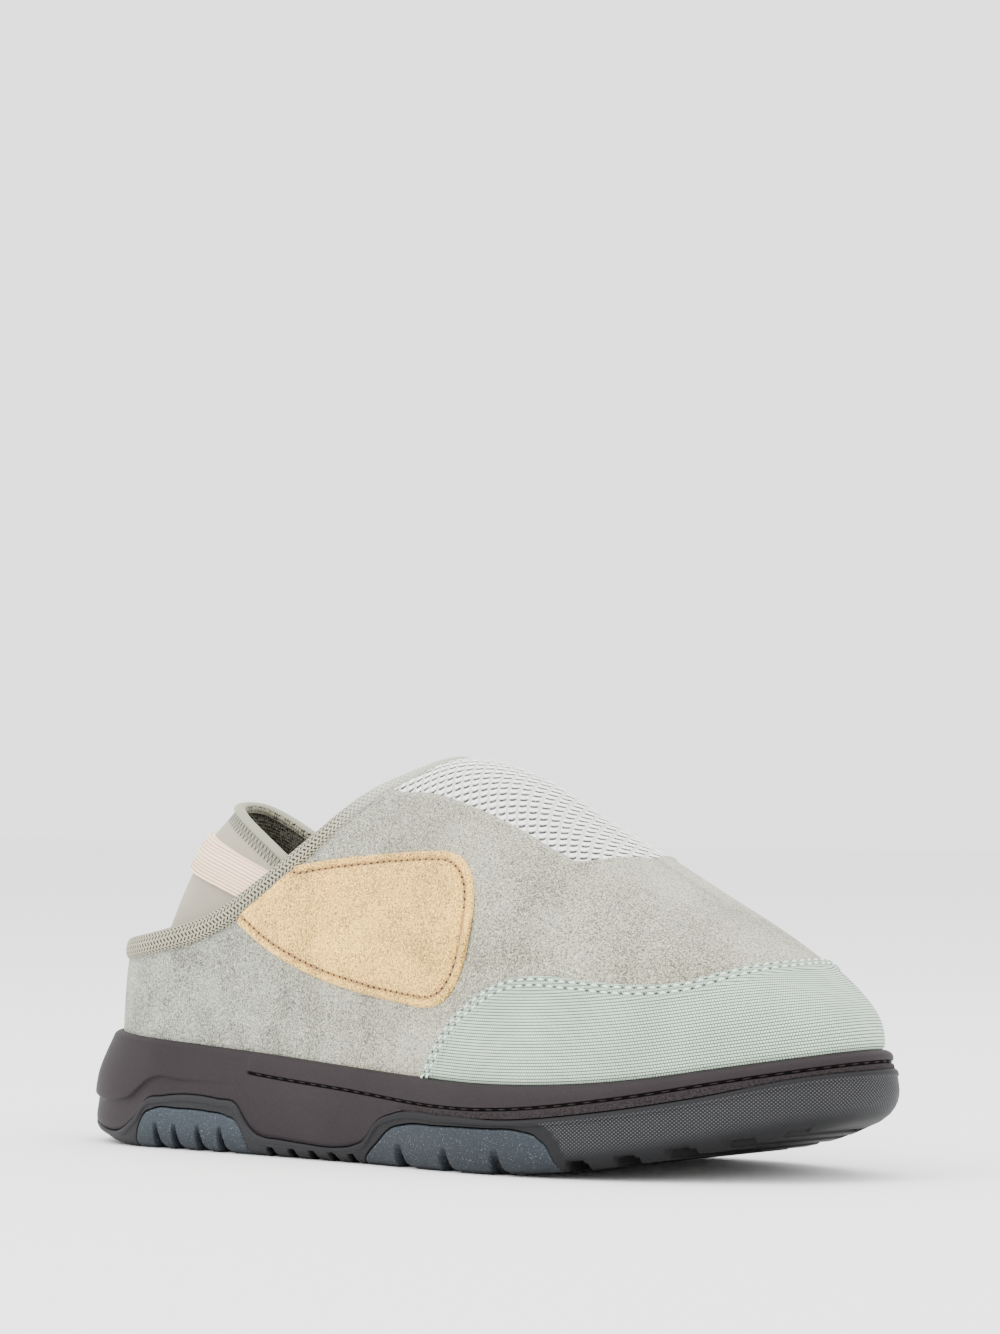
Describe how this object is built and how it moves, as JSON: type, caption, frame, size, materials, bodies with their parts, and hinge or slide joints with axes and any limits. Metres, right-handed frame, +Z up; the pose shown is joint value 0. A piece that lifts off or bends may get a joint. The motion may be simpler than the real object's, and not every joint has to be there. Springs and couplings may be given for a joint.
{
  "type": "slip-on sneaker",
  "caption": "Slip-on sneaker for the right foot, with a net throat, a plain side patch, a toe cap, a heel sock with an elastic band and a lugged cup sole.",
  "frame": {"origin": "on the floor, under the centre of the shoe's bounding box", "axes": "+X towards the toe, +Y towards the inner side of the right foot, +Z up"},
  "size_m": [0.302, 0.1073, 0.1286],
  "materials": {
    "midsole": "matt moulded foam, plum brown",
    "outsole": "matt rubber, dark grey",
    "insert": "frosted rubber, slate blue",
    "insole": "brushed knit",
    "suede": "napped suede, sage grey",
    "net": "open net over a lining, light grey",
    "nylon": "woven nylon, pale mint grey",
    "tan_suede": "napped suede, tan",
    "binding": "ribbed knit, greige",
    "sock": "smooth knit, warm grey",
    "elastic": "ribbed elastic, pale peach"
  },
  "bodies": {
    "root": {"midsole": "midsole", "outsole": "outsole", "heel_pod_lateral": "insert", "heel_pod_medial": "insert", "ball_pod_lateral": "insert", "ball_pod_medial": "insert", "insole": "insole", "upper": "suede", "throat_panel": "net", "toe_cap": "nylon", "side_patch": "tan_suede", "collar_binding": "binding", "heel_sock": "sock", "elastic_band": "elastic"}
  },
  "joints": []
}
